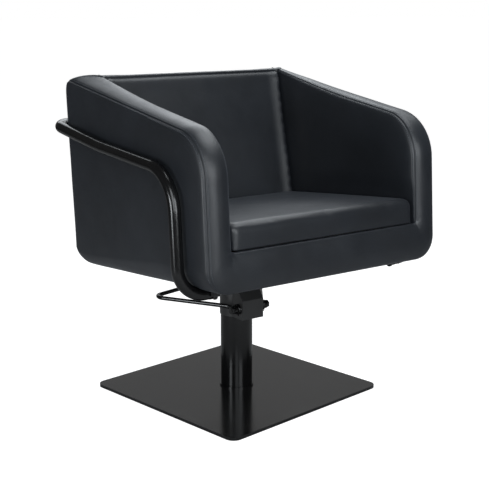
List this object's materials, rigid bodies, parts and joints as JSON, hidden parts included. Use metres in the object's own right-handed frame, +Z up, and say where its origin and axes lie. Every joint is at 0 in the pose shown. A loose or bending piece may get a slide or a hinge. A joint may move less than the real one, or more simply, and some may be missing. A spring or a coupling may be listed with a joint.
{
  "type": "styling chair",
  "caption": "Hydraulic salon styling chair: square base plate, lift column with foot pedal, swivelling box-shaped upholstered seat with arms and a bent tube frame.",
  "frame": {"origin": "centre of the base plate, on the floor, on the column's axis", "axes": "+Z up along the column, -Y to the front of the seat at rest, +X to the sitter's left"},
  "size_m": [0.678, 0.6355, 0.7587],
  "materials": {
    "upholstery_leather": "satin",
    "black_metal": "semi-gloss powder coat",
    "bright_steel": "polished",
    "zinc_steel": "zinc plated",
    "bronze": "turned",
    "black_rubber": "matte",
    "plywood": "raw",
    "foam": "open cell foam",
    "dust_fabric": "non-woven",
    "black_plastic": "fine texture"
  },
  "bodies": {
    "base": {"floor_pad": "black_rubber", "base_plate": "black_metal", "base_screws": "zinc_steel", "foot_ring": "black_metal", "pump_cylinder": "bright_steel", "guide_bush": "bronze", "rod_seal": "black_rubber", "gland_cap": "bright_steel"},
    "ram": {"ram_tube": "bright_steel", "ram_piston": "bronze", "piston_seal": "black_rubber", "ram_spindle": "bright_steel", "bearing_lower_race": "bright_steel", "bearing_balls": "bright_steel", "spindle_ring": "zinc_steel"},
    "seat": {"bearing_upper_race": "bright_steel", "swivel_bush": "bronze", "column_cover": "black_metal", "pump_head": "black_metal", "mount_plate": "black_metal", "tilt_wedge": "black_plastic", "mount_bolts": "zinc_steel", "mount_nuts": "zinc_steel", "seat_board": "plywood", "dust_cover": "dust_fabric", "seat_foam": "foam", "seat_cover": "upholstery_leather", "frame_cleats": "plywood", "frame_bolts": "zinc_steel", "arm_frame_left": "plywood", "arm_frame_right": "plywood", "arm_foam_left": "foam", "arm_foam_right": "foam", "arm_cover_left": "upholstery_leather", "arm_cover_right": "upholstery_leather", "back_panel": "plywood", "back_foam": "foam", "back_cover": "upholstery_leather", "backrest_foam": "foam", "backrest_cover": "upholstery_leather", "cushion_foam": "foam", "cushion_cover": "upholstery_leather", "tube_frame": "black_metal", "tube_standoffs": "black_metal", "tube_bolts": "zinc_steel", "tube_clamps": "black_plastic", "clamp_screws": "zinc_steel", "tube_caps": "black_plastic", "return_springs": "black_metal"},
    "pedal": {"pedal_shaft": "black_metal", "pump_crank": "bright_steel", "pedal_hubs": "black_metal", "hub_nuts": "black_metal", "pedal_bar": "black_metal", "pedal_grip": "black_rubber"},
    "plunger": {"pump_plunger": "bright_steel"}
  },
  "joints": [
    {"name": "lift", "type": "slide", "parent": "base", "child": "ram", "axis": [0, 0, 1], "range_m": [0, 0.12]},
    {"name": "swivel", "type": "hinge", "parent": "ram", "child": "seat", "pos_m": [0, 0, 0.2], "axis": [0, 0, 1], "continuous": true},
    {"name": "pedal_press", "type": "hinge", "parent": "seat", "child": "pedal", "pos_m": [0, -0.052, 0.214], "axis": [-1, 0, 0], "range_deg": [0, 20], "stiffness_Nm_per_rad": 4, "springref_deg": -20.05},
    {"name": "plunger_stroke", "type": "slide", "parent": "seat", "child": "plunger", "axis": [0, 0, -1], "range_m": [0, 0.005]}
  ],
  "couplings": [
    {"joint": "plunger_stroke", "follows": "pedal_press", "m_per_rad": 0.013}
  ]
}
